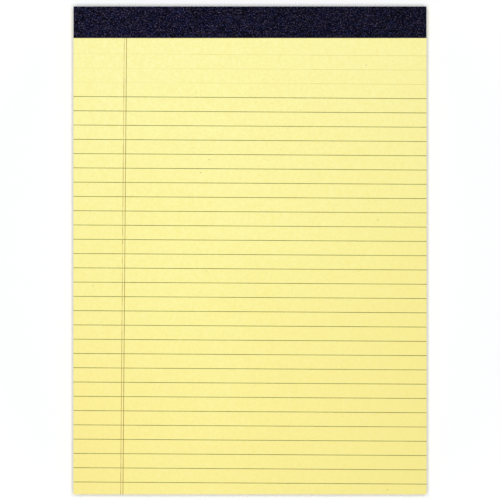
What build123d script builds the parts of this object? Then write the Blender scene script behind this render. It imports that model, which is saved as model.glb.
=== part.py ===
from build123d import *
import math
import os

# Letter-size legal pad: fifty ruled sheets on a chipboard back, wire-stitched through the head
# and bound there by one strip of tape folded over the stack.
#
# Millimetres. The pad lies on its back: +Z is up out of the first sheet, +Y points to the bound
# head, and X runs across the page. The origin is under the middle of the pad, on the plane that
# the pad rests on.
#
#     pages           the whole block of sheets, one solid, perforated just below the binding tape
#     backing_board   the chipboard back, cut flush with the sheets
#     binding_tape    one folded strip: a front leg, the spine over the head and a back leg
#     wire_staples    the wire stitches that hold the stub of the sheets to the board

# Overall sizes
pad_width = 215.9           # 8 1/2 in
pad_length = 298.45         # 11 3/4 in, over the folded tape
sheet_count = 50
sheet_thickness = 0.086     # one sheet of light writing paper
board_thickness = 0.76

# Binding tape
tape_thickness = 0.15
tape_front_leg = 19.4       # from the outside of the fold to the edge on the first sheet
tape_back_leg = 19.4        # the same, on the back of the board
head_corner_radius = 0.25   # how far the two head corners of the stack are rounded under the tape

# Perforation, one line of slits through every sheet
perforation_drop = 0.4      # centre line of the slits below the edge of the tape
slit_pitch = 25.4 / 16
slit_length = 0.95
slit_width = 0.12
slit_edge_margin = 0.8      # least paper left between the last slit and the side of the sheet

# Wire stitches
staple_count = 3
staple_spacing = 72.0       # between the middles of neighbouring staples
staple_head_distance = 9.5  # from the outside of the fold to the line of the crowns
staple_crown = 13.0         # over the two legs, centre to centre
clinch_length = 4.4         # bent-in end of each leg, from the leg's centre line
wire_diameter = 0.5
wire_bend_radius = 0.45     # on the wire's centre line
wire_clearance = 0.02       # round the wire, in the sheets and in the board

# Levels, from the surface that the pad rests on
board_bottom = tape_thickness
pages_bottom = board_bottom + board_thickness
pages_top = pages_bottom + sheet_count * sheet_thickness
pad_top = pages_top + tape_thickness

# Plan
fold_y = pad_length / 2
head_y = fold_y - tape_thickness
foot_y = -pad_length / 2
stack_length = head_y - foot_y
stack_middle_y = (head_y + foot_y) / 2
tape_edge_y = fold_y - tape_front_leg
perforation_y = tape_edge_y - perforation_drop
staple_y = fold_y - staple_head_distance

# The wire's centre line: the crown and the clinched ends lie just inside the faces under the tape
wire_radius = wire_diameter / 2
crown_z = pages_top - wire_clearance - wire_radius
clinch_z = board_bottom + wire_clearance + wire_radius


def stack_slab(bottom, top):
    """A slab of the stack between two levels, as wide and long as a sheet."""
    middle = Pos(0, stack_middle_y, (bottom + top) / 2)
    return middle * Box(pad_width, stack_length, top - bottom)


def head_edges(slab):
    """The slab's two edges across the head, the lower one first."""
    return slab.edges().filter_by(Axis.X).group_by(Axis.Y)[-1].sort_by(Axis.Z)


def staple_places():
    """The middles of the staples, spread evenly about the middle of the pad."""
    first = -staple_spacing * (staple_count - 1) / 2
    return [Location((first + i * staple_spacing, staple_y, 0)) for i in range(staple_count)]


def wire_channel():
    """The room that one stitch takes, open to the two faces that the wire lies in."""
    room = wire_radius + wire_clearance
    outside = staple_crown + 2 * room
    inside = staple_crown - 2 * room
    between_clinches = staple_crown - 2 * (clinch_length + wire_clearance)
    held_height = crown_z - clinch_z - 2 * room
    held = Pos(0, (crown_z + clinch_z) / 2) * RectangleRounded(
        inside, held_height, wire_bend_radius - room
    )
    foot = Pos(0, (clinch_z + room) / 2) * Rectangle(between_clinches, clinch_z + room)
    outline = Pos(0, pad_top / 2) * Rectangle(outside, pad_top) - held - foot
    return extrude(Plane.XZ * outline, amount=room, both=True)


def cut_channels(slab):
    """The slab with the room for every stitch taken out."""
    channel = wire_channel()
    for place in staple_places():
        slab -= place * channel
    return slab


def perforation():
    """The slits of the tear-off line, as one group that passes through every sheet."""
    line = pad_width - 2 * slit_edge_margin - slit_length
    count = math.floor(line / slit_pitch) + 1
    height = pages_top - pages_bottom
    centre = Location((0, perforation_y, pages_bottom - height / 2))
    slits = centre * GridLocations(slit_pitch, 1, count, 1) * Rectangle(slit_length, slit_width)
    return extrude(Sketch() + slits, amount=2 * height)


def make_pages():
    block = stack_slab(pages_bottom, pages_top)
    block = fillet(head_edges(block)[-1], head_corner_radius)
    return cut_channels(block) - perforation()


def make_backing_board():
    board = stack_slab(board_bottom, pages_bottom)
    board = fillet(head_edges(board)[0], head_corner_radius)
    return cut_channels(board)


def make_binding_tape():
    """The strip laid along its route: down the first sheet's head, over the fold and back under."""
    half = tape_thickness / 2
    route = FilletPolyline(
        (0, tape_edge_y, pad_top - half),
        (0, fold_y - half, pad_top - half),
        (0, fold_y - half, half),
        (0, fold_y - tape_back_leg, half),
        radius=head_corner_radius + half,
    )
    across = Plane(route @ 0, x_dir=(1, 0, 0), z_dir=route % 0)
    return sweep(across * Rectangle(pad_width, tape_thickness), path=route)


def make_wire_staples():
    """The stitches: each is one wire, down through the stack and bent inwards in the board."""
    half = staple_crown / 2
    route = FilletPolyline(
        (-half + clinch_length, 0, clinch_z),
        (-half, 0, clinch_z),
        (-half, 0, crown_z),
        (half, 0, crown_z),
        (half, 0, clinch_z),
        (half - clinch_length, 0, clinch_z),
        radius=wire_bend_radius,
    )
    stitch = sweep(Plane(route @ 0, z_dir=route % 0) * Circle(wire_radius), path=route)
    return Compound([place * stitch for place in staple_places()])


parts = {
    "pages": make_pages(),
    "backing_board": make_backing_board(),
    "binding_tape": make_binding_tape(),
    "wire_staples": make_wire_staples(),
}

os.makedirs("parts", exist_ok=True)
for name, shape in parts.items():
    export_step(shape, f"parts/{name}.step")
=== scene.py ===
import math
import random

import bmesh
import bpy
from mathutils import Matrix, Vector, noise


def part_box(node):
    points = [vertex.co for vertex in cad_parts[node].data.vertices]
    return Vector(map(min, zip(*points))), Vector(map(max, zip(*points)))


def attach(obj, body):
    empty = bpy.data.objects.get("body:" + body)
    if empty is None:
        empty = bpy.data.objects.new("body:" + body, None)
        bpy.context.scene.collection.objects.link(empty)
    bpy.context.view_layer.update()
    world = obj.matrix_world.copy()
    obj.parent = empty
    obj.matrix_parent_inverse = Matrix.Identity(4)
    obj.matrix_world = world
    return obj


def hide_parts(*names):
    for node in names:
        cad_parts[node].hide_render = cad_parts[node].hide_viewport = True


# Looks of the legal pad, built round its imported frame.
#
# Metres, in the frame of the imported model: the pad lies on its back on z = 0, +Y points to the bound
# head and X runs across the page. Lengths that belong to the paper and the print are written in
# millimetres or inches and multiplied by MM or INCH.
#
# The sheets are rebuilt here: the first one as a ruled and perforated sheet, and the others as a
# stack of single sheets. The board, the tape and the wire keep their solids and get their finish.

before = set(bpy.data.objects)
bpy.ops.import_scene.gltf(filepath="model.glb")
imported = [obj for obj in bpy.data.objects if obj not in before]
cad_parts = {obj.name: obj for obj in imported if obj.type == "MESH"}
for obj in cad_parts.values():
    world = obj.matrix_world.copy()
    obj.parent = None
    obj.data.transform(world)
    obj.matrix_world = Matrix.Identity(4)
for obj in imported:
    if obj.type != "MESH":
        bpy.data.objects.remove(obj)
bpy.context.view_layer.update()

MM = 0.001
INCH = 25.4 * MM
rng = random.Random(11)

# Places that the frame gives
pages_low, pages_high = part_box("pages")
tape_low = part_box("binding_tape")[0]
left, right = pages_low.x, pages_high.x
foot, head = pages_low.y, pages_high.y
tape_edge = tape_low.y

# The sheets
sheet_count = 50
sheet_room = (pages_high.z - pages_low.z) / sheet_count
sheet_thickness = 0.078 * MM
head_rounding = 0.25 * MM           # of the stack's upper head corner, under the tape
cell = 3.0 * MM                     # the coarsest step of the first sheet's mesh

# The first sheet's slow waves, which lift it off the next one
wave_height = 0.10 * MM
wave_run = (60 * MM, 80 * MM)       # across and down the page
flat_run = 60 * MM                  # below the tape, over which the waves grow

# The cut edges. The sheets were cut in lifts, which lie a little inside the block by different
# amounts, and so does each sheet in its lift.
lift_sheets = (6, 12)               # roughly how many sheets a lift holds
lift_inset = 0.06 * MM
sheet_inset = 0.03 * MM
head_inset = 0.02 * MM
stub_gap = 0.05 * MM                # from the first sheet's stub to the rounded head
sheet_gap = 0.002 * MM

# The perforation, as in the solid
perforation_drop = 0.4 * MM
slit_pitch = INCH / 16
slit_length = 0.95 * MM
slit_width = 0.12 * MM
slit_edge_margin = 0.8 * MM

# The print. It sits a little askew on the sheet: the rules fall to the right, and the margin
# rules lean to the left on their way down.
rule_pitch = INCH * 11 / 32
rule_count = 28
first_rule_drop = 36.4 * MM         # from the tape's edge, at the middle of the page
rule_fall = 0.0063                  # drop for each unit of run to the right
rule_weight = 0.36 * MM
ghost_count = 3                     # rules of the sheet's back that show through above the first rule
ghost_weight = 0.34 * MM
margin_inset = INCH * 1.25          # from the left side to the middle of the pair, at the top
margin_gap = 1.42 * MM
margin_lean = 0.0080
margin_weight = 0.34 * MM

# Specks in the paper of the first sheet: the millimetres from its left side and from its foot, and
# how strong each one is
specks = (
    (179.0, 262.5, 0.65),
    (75.0, 246.0, 0.35),
    (73.4, 212.0, 0.30),
    (83.0, 204.7, 0.65),
    (77.6, 196.8, 0.70),
    (186.0, 167.6, 0.45),
    (81.4, 136.6, 0.45),
    (12.2, 127.5, 0.45),
    (192.0, 2.8, 0.55),
)
speck_radius = 0.50 * MM

# The studio
lamp_height = 1.3
lamp_reach = 0.36                   # of each lamp's middle, from the middle of the pad, in X and Y
lamp_size = 0.4
lamps = (
    # name, side, end and power
    ("upper_left", -1, 1, 4.3),
    ("upper_right", 1, 1, 4.0),
    ("lower_left", -1, -1, 4.1),
    ("lower_right", 1, -1, 3.85),
)
world_strength = 0.25
floor_size = 6.0
floor_drop = 0.01 * MM              # of the table top, below the tape's underside
glow_start = 0.17                   # from the pad's middle, where the table's shine begins to grow
glow_end = 1.2
glow_least = 0.04
picture_scale = 1.635               # pixels for each millimetre of the first sheet
picture_size = 500
camera_y = 0.2 * MM


# Colours and node trees

def rgb(red, green, blue):
    """An sRGB colour from 0 to 255 as the linear RGBA that the nodes take."""
    def linear(value):
        value = value / 255
        return value / 12.92 if value <= 0.04045 else ((value + 0.055) / 1.055) ** 2.4
    return (linear(red), linear(green), linear(blue), 1.0)


class Nodes:
    """A material's node tree, with its Principled shader as .shader and short ways to add to it."""

    def __init__(self, name, roughness, specular=0.3):
        self.material = bpy.data.materials.new(name)
        self.material.use_nodes = True
        self.tree = self.material.node_tree
        self.shader = self.tree.nodes["Principled BSDF"]
        self.shader.inputs["Roughness"].default_value = roughness
        self.shader.inputs["Specular IOR Level"].default_value = specular
        self.place = self.add("ShaderNodeTexCoord").outputs["Object"]

    def add(self, kind, **settings):
        node = self.tree.nodes.new(kind)
        for name, value in settings.items():
            setattr(node, name, value)
        return node

    def put(self, source, socket):
        """Links an output, or sets a plain value, on an input socket."""
        if isinstance(source, bpy.types.NodeSocket):
            self.tree.links.new(source, socket)
        else:
            socket.default_value = source

    def shade(self, name, source):
        """Links or sets one input of the Principled shader."""
        self.put(source, self.shader.inputs[name])

    def noise(self, size, detail=2.0, stretch=(1, 1, 1), roughness=0.5):
        """Noise whose features are about size metres across, longer along an axis by its stretch."""
        mapping = self.add("ShaderNodeMapping", vector_type="POINT")
        mapping.inputs["Scale"].default_value = [1 / (size * s) for s in stretch]
        self.put(self.place, mapping.inputs["Vector"])
        texture = self.add("ShaderNodeTexNoise")
        texture.inputs["Scale"].default_value = 1.0
        texture.inputs["Detail"].default_value = detail
        texture.inputs["Roughness"].default_value = roughness
        self.put(mapping.outputs["Vector"], texture.inputs["Vector"])
        return texture.outputs["Fac"]

    def span(self, value, low, high, to_low=0.0, to_high=1.0):
        """value, taken from low..high to to_low..to_high and held there."""
        node = self.add("ShaderNodeMapRange", clamp=True)
        self.put(value, node.inputs["Value"])
        node.inputs["From Min"].default_value = low
        node.inputs["From Max"].default_value = high
        node.inputs["To Min"].default_value = to_low
        node.inputs["To Max"].default_value = to_high
        return node.outputs["Result"]

    def mix(self, share, first, second):
        """first and second colours mixed by share."""
        node = self.add("ShaderNodeMix", data_type="RGBA")
        # The node has sockets for every data type. These are its factor and the ones for colours.
        self.put(share, node.inputs[0])
        self.put(first, node.inputs[6])
        self.put(second, node.inputs[7])
        return node.outputs[2]

    def ramp(self, value, *stops):
        """The colour at value on a ramp through (place, colour) stops, given in order."""
        node = self.add("ShaderNodeValToRGB")
        band = node.color_ramp.elements
        while len(band) < len(stops):
            band.new(1.0)
        for element, (place, colour) in zip(band, stops):
            element.position = place
            element.color = colour
        self.put(value, node.inputs["Fac"])
        return node.outputs["Color"]

    def near(self, x, y, radius):
        """One at a place on the page, and nothing beyond radius from it."""
        flat = self.add("ShaderNodeCombineXYZ")
        self.put(self.axis("X"), flat.inputs["X"])
        self.put(self.axis("Y"), flat.inputs["Y"])
        distance = self.add("ShaderNodeVectorMath", operation="DISTANCE")
        self.put(flat.outputs[0], distance.inputs[0])
        distance.inputs[1].default_value = (x, y, 0)
        return self.span(distance.outputs["Value"], 0.4 * radius, radius, 1.0, 0.0)

    def calculate(self, operation, first, second):
        node = self.add("ShaderNodeMath", operation=operation)
        self.put(first, node.inputs[0])
        self.put(second, node.inputs[1])
        return node.outputs[0]

    def times(self, first, second):
        return self.calculate("MULTIPLY", first, second)

    def plus(self, first, second):
        return self.calculate("ADD", first, second)

    def axis(self, name):
        """One coordinate of the place, in metres."""
        split = self.add("ShaderNodeSeparateXYZ")
        self.put(self.place, split.inputs[0])
        return split.outputs[name]

    def bump(self, height, distance):
        node = self.add("ShaderNodeBump")
        node.inputs["Distance"].default_value = distance
        self.put(height, node.inputs["Height"])
        self.shade("Normal", node.outputs["Normal"])


# Materials. Noise runs from about 0.3 to 0.7, so the ranges of span below cut into that.

def paper_relief(nodes):
    """The tooth of the paper, with a little cockle under it."""
    tooth = nodes.noise(0.35 * MM, detail=4)
    cockle = nodes.noise(9 * MM, detail=1)
    nodes.bump(nodes.plus(nodes.times(tooth, 0.012), cockle), 0.12 * MM)
    nodes.shade("Roughness", nodes.span(tooth, 0.3, 0.7, 0.8, 0.92))


def paper_material():
    """Canary writing paper: paler at the head, with painted shade towards the lower right, mottled,
    with fine fibres and a few specks.
    """
    nodes = Nodes("canary_paper", 0.86)
    down = nodes.span(nodes.axis("Y"), head, foot)
    drift = nodes.span(nodes.noise(70 * MM, detail=1), 0.3, 0.7, -0.08, 0.08)
    colour = nodes.ramp(
        nodes.plus(down, drift),
        (0.05, rgb(254, 250, 176)),
        (0.45, rgb(253, 247, 165)),
        (0.80, rgb(253, 243, 157)),
        (1.00, rgb(252, 241, 154)),
    )
    # Painted shade: the paper darkens towards the lower right, standing in for the light's falloff
    # across the page.
    rightwards = nodes.span(nodes.axis("X"), 0.2 * left, right)
    painted_falloff_shade = nodes.times(rightwards, nodes.span(down, 0, 0.9, 0.16, 0.4))
    colour = nodes.mix(painted_falloff_shade, colour, rgb(238, 224, 137))
    leftwards = nodes.span(nodes.axis("X"), 0.5 * left, left)
    warm = nodes.times(leftwards, nodes.span(down, 0.3, 0.9, 0.0, 0.3))
    colour = nodes.mix(warm, colour, rgb(251, 228, 142))
    clouds = nodes.noise(1.5 * MM, detail=3)
    colour = nodes.mix(nodes.span(clouds, 0.35, 0.65, 0.0, 0.32), colour, rgb(245, 229, 122))
    fibres = nodes.noise(0.7 * MM, detail=3, stretch=(2.5, 1, 1))
    colour = nodes.mix(nodes.span(fibres, 0.35, 0.75, 0.0, 0.10), colour, rgb(222, 208, 136))
    for x, y, strength in specks:
        speck = nodes.near(left + x * MM, foot + y * MM, speck_radius)
        colour = nodes.mix(nodes.times(speck, strength), colour, rgb(150, 124, 72))
    nodes.shade("Base Color", colour)
    paper_relief(nodes)
    return nodes.material


def edge_material():
    """The cut edges of the stacked sheets: each sheet a slightly different tone."""
    nodes = Nodes("canary_paper_edges", 0.88)
    sheet = nodes.noise(0.16 * MM, detail=2, stretch=(400, 400, 1))
    lift = nodes.noise(0.9 * MM, detail=1, stretch=(120, 120, 1))
    colour = nodes.mix(nodes.span(sheet, 0.3, 0.7), rgb(254, 246, 172), rgb(242, 224, 138))
    colour = nodes.mix(nodes.span(lift, 0.45, 0.75, 0.0, 0.35), colour, rgb(222, 200, 116))
    nodes.shade("Base Color", colour)
    paper_relief(nodes)
    return nodes.material


def ink_material(name, colour):
    """Rule ink on the paper: one tone, with the tooth of the paper in it."""
    nodes = Nodes(name, 0.8)
    nodes.shade("Base Color", colour)
    paper_relief(nodes)
    return nodes.material


def chipboard_material():
    """Grey chipboard: pulp in clouds, with dark and pale fibres."""
    nodes = Nodes("grey_chipboard", 0.92, specular=0.2)
    clouds = nodes.noise(7 * MM, detail=4)
    colour = nodes.mix(nodes.span(clouds, 0.3, 0.7), rgb(150, 138, 120), rgb(166, 154, 134))
    dark_fibres = nodes.noise(0.7 * MM, detail=3, stretch=(3, 1, 1))
    colour = nodes.mix(nodes.span(dark_fibres, 0.6, 0.7, 0.0, 0.6), colour, rgb(96, 86, 74))
    pale_fibres = nodes.noise(0.9 * MM, detail=3, stretch=(1, 3, 1))
    colour = nodes.mix(nodes.span(pale_fibres, 0.62, 0.72, 0.0, 0.6), colour, rgb(206, 197, 178))
    nodes.shade("Base Color", colour)
    nodes.bump(nodes.noise(0.6 * MM, detail=5), 0.05 * MM)
    return nodes.material


def tape_material():
    """Navy-black binding tape with a pressed grain, darker to the right, with painted glints: pale
    flecks on the grain's raised points and in short streaks.
    """
    nodes = Nodes("grained_tape", 0.75, specular=0.03)
    grain = nodes.noise(0.66 * MM, detail=2, stretch=(1.3, 1, 1), roughness=0.6)
    streaks = nodes.noise(0.7 * MM, detail=2, stretch=(5, 1, 1))
    clouds = nodes.noise(9 * MM, detail=2)
    hue = nodes.noise(3 * MM, detail=2, stretch=(1.4, 1, 1))
    rightwards = nodes.span(nodes.axis("X"), left, right)
    base = nodes.mix(nodes.span(clouds, 0.35, 0.65), rgb(2, 2, 12), rgb(6, 5, 26))
    base = nodes.mix(nodes.times(rightwards, 0.5), base, rgb(4, 5, 12))
    # Painted glints: a pale colour where the grain stands highest and along short streaks, fewer to
    # the right, stands in for the sparkle of the pressed grain.
    painted_glint = nodes.mix(nodes.span(hue, 0.4, 0.6), rgb(90, 80, 110), rgb(62, 66, 112))
    glint_on_grain = nodes.span(grain, 0.54, 0.68, 0.0, 1.0)
    glint_streaks = nodes.span(streaks, 0.58, 0.75, 0.0, 0.3)
    share = nodes.times(nodes.plus(glint_on_grain, glint_streaks), nodes.span(rightwards, 0, 1, 1, 0.7))
    nodes.shade("Base Color", nodes.mix(share, base, painted_glint))
    nodes.bump(grain, 0.10 * MM)
    return nodes.material


def wire_material():
    """Bright steel stitching wire, drawn along its length."""
    nodes = Nodes("stitching_wire", 0.35, specular=0.5)
    nodes.shade("Metallic", 1.0)
    marks = nodes.noise(0.2 * MM, detail=2, stretch=(12, 1, 1))
    nodes.shade("Base Color", nodes.mix(marks, rgb(176, 174, 168), rgb(206, 204, 198)))
    nodes.shade("Roughness", nodes.span(marks, 0.3, 0.7, 0.28, 0.45))
    return nodes.material


# Three tones of each ink, from light to heavy, and about how many cells keep the same one
tone_count = 3
rule_run = 4
margin_run = 1.5
margin_seed = 100       # keeps the margin rules' tones from repeating those of the rules
ink_tones = {
    "rule": [rgb(122, 132, 66), rgb(106, 116, 56), rgb(92, 100, 48)],
    "ghost": [rgb(246, 238, 160), rgb(238, 228, 150), rgb(228, 219, 142)],
    "outer": [rgb(222, 200, 122), rgb(200, 174, 102), rgb(178, 148, 84)],
    "inner": [rgb(168, 144, 76), rgb(150, 126, 62), rgb(132, 106, 50)],
}


def sheet_finish():
    """The first sheet's materials, and where each one stands in that list."""
    materials = [paper_material()]
    slots = {"paper": 0}
    for ink, colours in ink_tones.items():
        slots[ink] = []
        for number, colour in enumerate(colours):
            slots[ink].append(len(materials))
            materials.append(ink_material(f"{ink}_ink_{number + 1}", colour))
    return materials, slots


# The lines of the first sheet. Its mesh lies between lines across and lines down, so that every
# printed rule has faces of its own.

class Line:
    """A straight edge of the print: its place at the middle of the sheet, and its slope there."""

    def __init__(self, place, slope, mark=None):
        self.place = place
        self.slope = slope
        self.mark = mark    # the print between this edge and the next one, or None for bare paper


def steps(start, stop, longest):
    """The inner points that divide start..stop into equal steps no longer than longest."""
    rounding = 1e-6
    count = max(1, math.ceil(abs(stop - start) / longest - rounding))
    return [start + (stop - start) * i / count for i in range(1, count)]


def with_steps(lines, longest):
    """The lines in order, with evenly spaced ones between any two that lie far apart."""
    filled = []
    for first, second in zip(lines, lines[1:]):
        filled.append(first)
        if first.mark:
            continue
        for place in steps(first.place, second.place, longest):
            share = (place - first.place) / (second.place - first.place)
            slope = first.slope + share * (second.slope - first.slope)
            filled.append(Line(place, slope))
    return filled + [lines[-1]]


def row_lines():
    """The lines across the sheet, from the foot up to the perforation."""
    lines = [Line(foot, 0.0)]
    first_rule = tape_edge - first_rule_drop
    for i in reversed(range(-ghost_count, rule_count)):
        weight = rule_weight if i >= 0 else ghost_weight
        mark = "rule" if i >= 0 else "ghost"
        middle = first_rule - i * rule_pitch
        lines.append(Line(middle - weight / 2, -rule_fall, mark))
        lines.append(Line(middle + weight / 2, -rule_fall))
    lines.append(Line(tape_edge - perforation_drop - slit_width / 2, 0.0))
    return with_steps(lines, cell)


def column_lines():
    """The lines down the sheet, from the left side to the right."""
    lines = [Line(left, 0.0)]
    for side, mark in ((-1, "outer"), (1, "inner")):
        at_top = left + margin_inset + side * margin_gap / 2
        at_middle = at_top - margin_lean * (tape_edge - foot) / 2
        lines.append(Line(at_middle - margin_weight / 2, margin_lean, mark))
        lines.append(Line(at_middle + margin_weight / 2, margin_lean))
    lines.append(Line(right, 0.0))
    return with_steps(lines, cell)


def crossing(row, column):
    """Where a line across meets a line down."""
    middle = (tape_edge + foot) / 2
    level = row.place + row.slope * (column.place - column.slope * middle)
    y = level / (1 - row.slope * column.slope)
    return column.place + column.slope * (y - middle), y


def slit_stops():
    """The two ends of every slit of the perforation, from left to right."""
    line = right - left - 2 * slit_edge_margin - slit_length
    count = math.floor(line / slit_pitch) + 1
    first = -slit_pitch * (count - 1) / 2
    middles = [first + i * slit_pitch for i in range(count)]
    return [(middle - slit_length / 2, middle + slit_length / 2) for middle in middles]


def drifting_tones(count, run, seed):
    """count tone numbers that drift smoothly along a line, over about run cells."""
    numbers = []
    for i in range(count):
        level = 0.5 + 0.9 * noise.noise(Vector((i / run, seed * 7.3, 1.5)))
        numbers.append(max(0, min(tone_count - 1, int(level * tone_count))))
    return numbers


class Print:
    """The lines of the first sheet, and the material of each cell between them."""

    def __init__(self, slots):
        self.slots = slots
        self.rows = row_lines()
        self.columns = column_lines()
        self.rule_tones = [
            drifting_tones(len(self.columns), rule_run, i) for i in range(len(self.rows))
        ]
        self.margin_tones = [
            drifting_tones(len(self.rows) + 1, margin_run, margin_seed + j)
            for j in range(len(self.columns))
        ]

    def slot(self, i, j):
        """The material of the cell above row i and to the right of column j."""
        across = self.rows[i].mark if i < len(self.rows) else None
        down = self.columns[j].mark
        if down:
            heavier = 1 if i < len(self.rows) // 3 else 0   # towards the foot
            tone = min(tone_count - 1, self.margin_tones[j][i] + heavier)
            return self.slots[down][tone]
        if across == "rule":
            return self.slots["rule"][self.rule_tones[i][j]]
        if across == "ghost":
            heavier_rightwards = tone_count * j // len(self.columns)
            return self.slots["ghost"][min(tone_count - 1, heavier_rightwards)]
        return self.slots["paper"]


# The first sheet's mesh

def add_piece(name, mesh, materials):
    """A new piece from a bmesh, which is used up."""
    data = bpy.data.meshes.new(name)
    mesh.to_mesh(data)
    mesh.free()
    for material in materials:
        data.materials.append(material)
    piece = bpy.data.objects.new(name, data)
    bpy.context.scene.collection.objects.link(piece)
    return piece


def waves(x, y):
    """How far the first sheet stands off the next one: nothing at the tape, then slow waves."""
    free = min(1.0, max(0.0, (tape_edge - y) / flat_run))
    value = noise.noise(Vector((x / wave_run[0], y / wave_run[1], 4.0)))
    return wave_height * free * (0.5 + 0.5 * value)


class Sheet:
    """A closed mesh of one sheet: a top, an underside and walls round the sides and slits."""

    def __init__(self):
        self.mesh = bmesh.new()
        self.made = {}      # (x, y, level) to vertex, with level 0 on the top and 1 underneath

    def vertex(self, x, y, level):
        digits = 8
        key = (round(x, digits), round(y, digits), level)
        if key not in self.made:
            z = pages_high.z - sheet_thickness * level + waves(x, y)
            self.made[key] = self.mesh.verts.new((x, y, z))
        return self.made[key]

    def patch(self, points, slot):
        """The same outline on the top and on the underside. Only the top is printed."""
        top = self.mesh.faces.new([self.vertex(x, y, 0) for x, y in points])
        top.material_index = slot
        under = self.mesh.faces.new([self.vertex(x, y, 1) for x, y in reversed(points)])
        under.material_index = 0

    def close(self):
        """Walls of bare paper wherever a patch has no neighbour."""
        keys = {vertex: key for key, vertex in self.made.items()}
        for edge in [e for e in self.mesh.edges if len(e.link_faces) == 1]:
            loop = edge.link_loops[0]
            a, b = loop.vert, loop.link_loop_next.vert
            level = keys[a][2]
            if level == 1:
                continue
            below = [self.made[(x, y, 1)] for x, y, _ in (keys[a], keys[b])]
            self.mesh.faces.new([b, a, below[0], below[1]])

    def finish(self, name, materials):
        bmesh.ops.recalc_face_normals(self.mesh, faces=self.mesh.faces)
        return add_piece(name, self.mesh, materials)


def add_ruled_part(sheet, page):
    """The cells from the foot up to the last line below the perforation."""
    for i in range(len(page.rows) - 2):
        for j in range(len(page.columns) - 1):
            corners = [(i, j), (i, j + 1), (i + 1, j + 1), (i + 1, j)]
            points = [crossing(page.rows[a], page.columns[b]) for a, b in corners]
            sheet.patch(points, page.slot(i, j))


def add_perforated_part(sheet, page):
    """Column by column: the paper up to the slits, the bridges between them, and the stub."""
    low_edge = page.rows[-1].place
    high_edge = low_edge + slit_width
    stub_end = head - head_rounding - stub_gap
    slits = slit_stops()
    sides = [crossing(page.rows[-1], column)[0] for column in page.columns]
    for j, (start, stop) in enumerate(zip(sides, sides[1:])):
        below_slot = page.slot(len(page.rows) - 2, j)
        above_slot = page.slot(len(page.rows), j)
        inside = [x for slit in slits for x in slit if start < x < stop]
        xs = [start, *inside, stop]
        lower = [crossing(page.rows[-2], column) for column in page.columns[j:j + 2]]
        upper = [(stop, stub_end), (start, stub_end)]
        sheet.patch(lower + [(x, low_edge) for x in reversed(xs)], below_slot)
        sheet.patch([(x, high_edge) for x in xs] + upper, above_slot)
        for a, b in zip(xs, xs[1:]):
            in_a_slit = any(low < (a + b) / 2 < high for low, high in slits)
            if not in_a_slit:
                bridge = [(a, low_edge), (b, low_edge), (b, high_edge), (a, high_edge)]
                sheet.patch(bridge, above_slot)


def make_first_sheet():
    materials, slots = sheet_finish()
    page = Print(slots)
    sheet = Sheet()
    add_ruled_part(sheet, page)
    add_perforated_part(sheet, page)
    sheet.close()
    return sheet.finish("first_sheet", materials)


# The other sheets

def rounded_set_back(depth):
    """How far the stack's head lies back under its rounded corner, at a depth below its top."""
    rise = head_rounding - min(head_rounding, depth)
    return head_rounding - math.sqrt(head_rounding ** 2 - rise ** 2)


def make_sheet_stack(material):
    """The sheets under the first one, cut in lifts."""
    mesh = bmesh.new()
    lift = [0.0] * 3
    for i in range(1, sheet_count):
        if i % rng.randint(*lift_sheets) == 0:
            lift = [rng.uniform(0, lift_inset) for _ in range(3)]
        from_left, from_right, from_foot = [value + rng.uniform(0, sheet_inset) for value in lift]
        top = pages_high.z - i * sheet_room
        set_back = rounded_set_back(i * sheet_room)
        low = Vector((left + from_left, foot + from_foot, top - sheet_thickness))
        high = Vector((right - from_right, head - set_back - head_inset, top - sheet_gap))
        made = bmesh.ops.create_cube(mesh, size=1.0)["verts"]
        bmesh.ops.scale(mesh, vec=high - low, verts=made)
        bmesh.ops.translate(mesh, vec=(low + high) / 2, verts=made)
    return add_piece("sheet_stack", mesh, [material])


# The pad

first_sheet = make_first_sheet()
sheet_stack = make_sheet_stack(edge_material())
for piece in (first_sheet, sheet_stack):
    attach(piece, "root")
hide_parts("pages")
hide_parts("pages")


def dress(node, material):
    """Gives a CAD node its finish."""
    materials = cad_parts[node].data.materials
    materials.clear()
    materials.append(material)


dress("backing_board", chipboard_material())
dress("binding_tape", tape_material())
dress("wire_staples", wire_material())


# The studio

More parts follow.
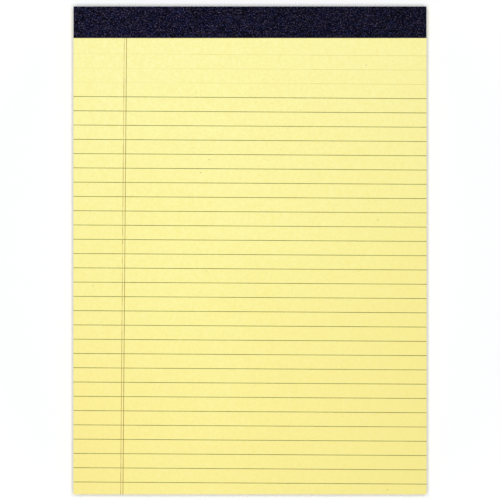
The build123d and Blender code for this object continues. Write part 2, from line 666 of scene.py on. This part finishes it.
def make_floor():
    """A white table top. It keeps the shadow beside the pad, and shines white further out."""
    bpy.ops.mesh.primitive_plane_add(size=floor_size, location=(0, 0, tape_low.z - floor_drop))
    floor = bpy.context.object
    floor.name = "floor"
    nodes = Nodes("white_table", 0.9, specular=0.0)
    seen = nodes.add("ShaderNodeLightPath").outputs["Is Camera Ray"]
    shown = (0.945, 0.95, 0.958, 1)
    reflecting = (0.8, 0.8, 0.8, 1)
    nodes.shade("Base Color", nodes.mix(seen, reflecting, shown))
    nodes.shade("Emission Color", (1, 1, 1, 1))
    distance = nodes.add("ShaderNodeVectorMath", operation="LENGTH")
    nodes.put(nodes.place, distance.inputs[0])
    glow = nodes.span(distance.outputs["Value"], glow_start, glow_end, glow_least, 1.0)
    nodes.shade("Emission Strength", nodes.times(seen, glow))
    floor.data.materials.append(nodes.material)


def make_world():
    """Even grey light from all round, which the camera sees as white."""
    world = bpy.data.worlds.new("studio")
    bpy.context.scene.world = world
    world.use_nodes = True
    tree = world.node_tree
    background = tree.nodes["Background"]
    path = tree.nodes.new("ShaderNodeLightPath")
    strength = tree.nodes.new("ShaderNodeMapRange")
    strength.inputs["To Min"].default_value = world_strength
    strength.inputs["To Max"].default_value = 1.0
    tree.links.new(path.outputs["Is Camera Ray"], strength.inputs["Value"])
    tree.links.new(strength.outputs["Result"], background.inputs["Strength"])
    background.inputs["Color"].default_value = (1, 1, 1, 1)


def make_lamp(name, side, end, power):
    """A square soft box over one corner of the pad, which faces the middle of it."""
    light = bpy.data.lights.new(name, "AREA")
    light.shape = "SQUARE"
    light.size = lamp_size
    light.energy = power
    lamp = bpy.data.objects.new(name, light)
    lamp.location = (side * lamp_reach, end * lamp_reach, lamp_height)
    lamp.rotation_euler = (-lamp.location).to_track_quat("-Z", "Y").to_euler()
    bpy.context.scene.collection.objects.link(lamp)


def make_camera():
    """Straight above the middle of the pad, far off with a long lens."""
    data = bpy.data.cameras.new("camera")
    data.lens = 120
    data.sensor_width = 36
    height = picture_size / picture_scale * MM * data.lens / data.sensor_width
    camera = bpy.data.objects.new("camera", data)
    camera.location = (0, camera_y, pages_high.z + height)
    bpy.context.scene.collection.objects.link(camera)
    bpy.context.scene.camera = camera


make_floor()
make_world()
for name, side, end, power in lamps:
    make_lamp(name, side, end, power)
make_camera()
bpy.context.scene.view_settings.view_transform = "Standard"
